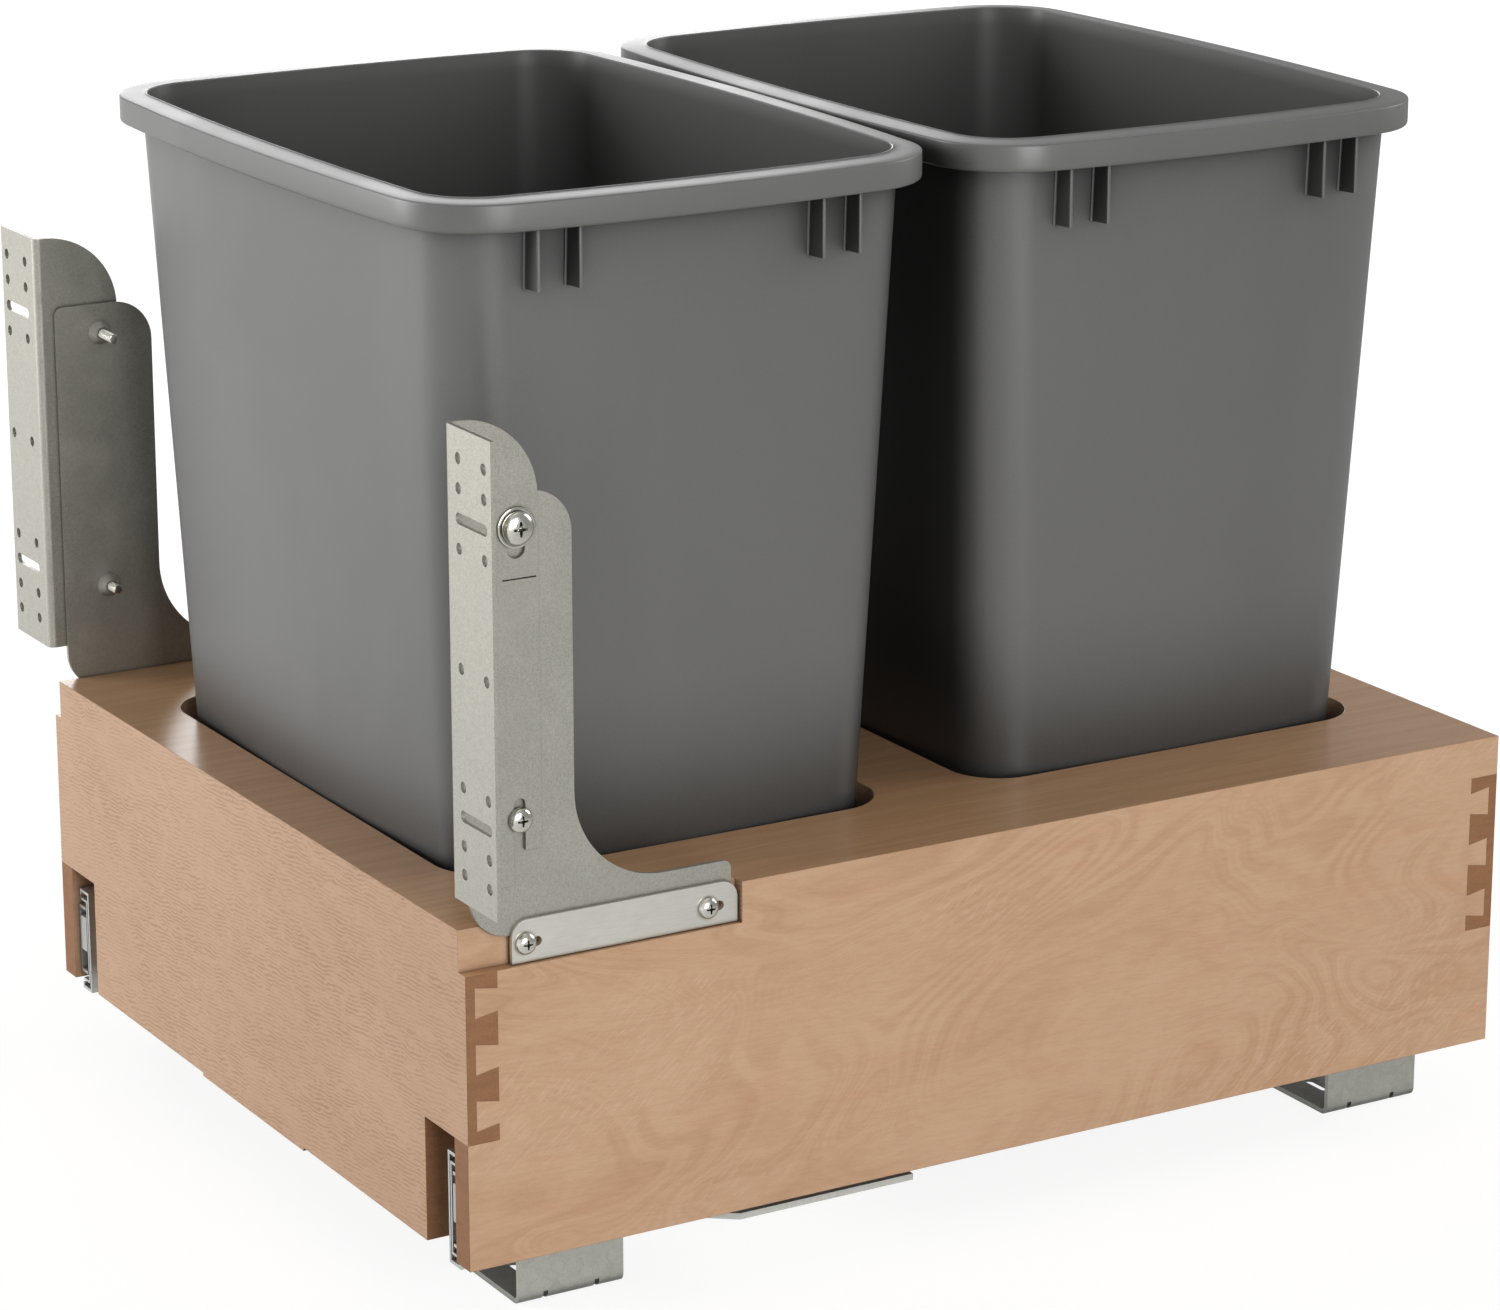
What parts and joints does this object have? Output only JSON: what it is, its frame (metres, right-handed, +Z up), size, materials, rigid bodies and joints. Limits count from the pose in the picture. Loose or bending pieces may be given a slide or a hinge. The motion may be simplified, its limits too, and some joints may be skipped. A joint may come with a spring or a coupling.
{
  "type": "pull-out waste unit",
  "caption": "Pull-out waste unit: tall tapered bins in a dovetailed wooden tray on ball-bearing side slides, with floor brackets and adjustable brackets for the cabinet door.",
  "frame": {"origin": "on the cabinet floor, in the middle of the pattern of floor screw slots", "axes": "+X to the right seen from the front, +Y towards the back of the cabinet, +Z up"},
  "size_m": [0.5182, 0.562, 0.4927],
  "materials": {
    "tray_wood": "clear-coated birch boards",
    "panel_wood": "clear-coated birch panel",
    "slat_wood": "clear-coated plywood slat",
    "block_wood": "plain sawn blocks",
    "slide_zinc": "clear zinc plate on cold rolled steel",
    "bracket_zinc": "zinc plated sheet steel",
    "door_zinc": "galvanised sheet steel",
    "clamp_nickel": "nickel plated stamping",
    "screw_steel": "zinc plated screws",
    "rivet_steel": "steel rivets",
    "ball_steel": "polished bearing balls in a sheet cage",
    "latch_plastic": "light grey moulded latch",
    "bin_plastic": "warm grey moulded bin"
  },
  "bodies": {
    "floor_frame": {"floor_bracket_front_left": "bracket_zinc", "floor_bracket_front_right": "bracket_zinc", "floor_bracket_rear_left": "bracket_zinc", "floor_bracket_rear_right": "bracket_zinc", "slide_outer_left": "slide_zinc", "slide_outer_right": "slide_zinc", "cross_brace": "bracket_zinc", "bracket_rivets": "rivet_steel", "brace_rivets": "rivet_steel"},
    "tray": {"front_board": "tray_wood", "back_board": "tray_wood", "side_board_left": "tray_wood", "side_board_right": "tray_wood", "top_panel": "panel_wood", "bottom_slat": "slat_wood", "corner_blocks": "block_wood", "slide_inner_left": "slide_zinc", "slide_inner_right": "slide_zinc", "slide_screws": "screw_steel", "slide_latches": "latch_plastic", "clamp_screws": "screw_steel"},
    "front_bin": {"front_bin": "bin_plastic"},
    "rear_bin": {"rear_bin": "bin_plastic"},
    "middle_left": {"slide_middle_left": "slide_zinc"},
    "outer_cage_left": {"outer_cage_left": "ball_steel"},
    "inner_cage_left": {"inner_cage_left": "ball_steel"},
    "door_mount_left": {"base_bracket_left": "door_zinc", "clamp_plate_left": "clamp_nickel", "hanger_washer_left": "screw_steel", "top_screw_left": "screw_steel", "low_screw_left": "screw_steel"},
    "door_plate_left": {"door_plate_left": "door_zinc"},
    "middle_right": {"slide_middle_right": "slide_zinc"},
    "outer_cage_right": {"outer_cage_right": "ball_steel"},
    "inner_cage_right": {"inner_cage_right": "ball_steel"},
    "door_mount_right": {"base_bracket_right": "door_zinc", "clamp_plate_right": "clamp_nickel", "hanger_washer_right": "screw_steel", "top_screw_right": "screw_steel", "low_screw_right": "screw_steel"},
    "door_plate_right": {"door_plate_right": "door_zinc"}
  },
  "joints": [
    {"name": "tray_slide", "type": "slide", "parent": "floor_frame", "child": "tray", "axis": [0, -1, 0], "range_m": [0, 0.55]},
    {"name": "middle_left_slide", "type": "slide", "parent": "floor_frame", "child": "middle_left", "axis": [0, -1, 0], "range_m": [0, 0.275]},
    {"name": "outer_cage_left_slide", "type": "slide", "parent": "floor_frame", "child": "outer_cage_left", "axis": [0, -1, 0], "range_m": [0, 0.1375]},
    {"name": "inner_cage_left_slide", "type": "slide", "parent": "floor_frame", "child": "inner_cage_left", "axis": [0, -1, 0], "range_m": [0, 0.4125]},
    {"name": "door_depth_left", "type": "slide", "parent": "tray", "child": "door_mount_left", "axis": [0, -1, 0], "range_m": [-0.0008, 0.005]},
    {"name": "door_height_left", "type": "slide", "parent": "door_mount_left", "child": "door_plate_left", "axis": [0, 0, 1], "range_m": [-0.004, 0.01]},
    {"name": "middle_right_slide", "type": "slide", "parent": "floor_frame", "child": "middle_right", "axis": [0, -1, 0], "range_m": [0, 0.275]},
    {"name": "outer_cage_right_slide", "type": "slide", "parent": "floor_frame", "child": "outer_cage_right", "axis": [0, -1, 0], "range_m": [0, 0.1375]},
    {"name": "inner_cage_right_slide", "type": "slide", "parent": "floor_frame", "child": "inner_cage_right", "axis": [0, -1, 0], "range_m": [0, 0.4125]},
    {"name": "door_depth_right", "type": "slide", "parent": "tray", "child": "door_mount_right", "axis": [0, -1, 0], "range_m": [-0.0008, 0.005]},
    {"name": "door_height_right", "type": "slide", "parent": "door_mount_right", "child": "door_plate_right", "axis": [0, 0, 1], "range_m": [-0.004, 0.01]},
    {"name": "front_bin_lift", "type": "slide", "parent": "tray", "child": "front_bin", "axis": [0, 0, 1], "range_m": [0, 0.16]},
    {"name": "rear_bin_lift", "type": "slide", "parent": "tray", "child": "rear_bin", "axis": [0, 0, 1], "range_m": [0, 0.16]}
  ],
  "couplings": [
    {"joint": "middle_left_slide", "follows": "tray_slide", "ratio": 0.5},
    {"joint": "outer_cage_left_slide", "follows": "tray_slide", "ratio": 0.25},
    {"joint": "inner_cage_left_slide", "follows": "tray_slide", "ratio": 0.75},
    {"joint": "middle_right_slide", "follows": "tray_slide", "ratio": 0.5},
    {"joint": "outer_cage_right_slide", "follows": "tray_slide", "ratio": 0.25},
    {"joint": "inner_cage_right_slide", "follows": "tray_slide", "ratio": 0.75}
  ]
}
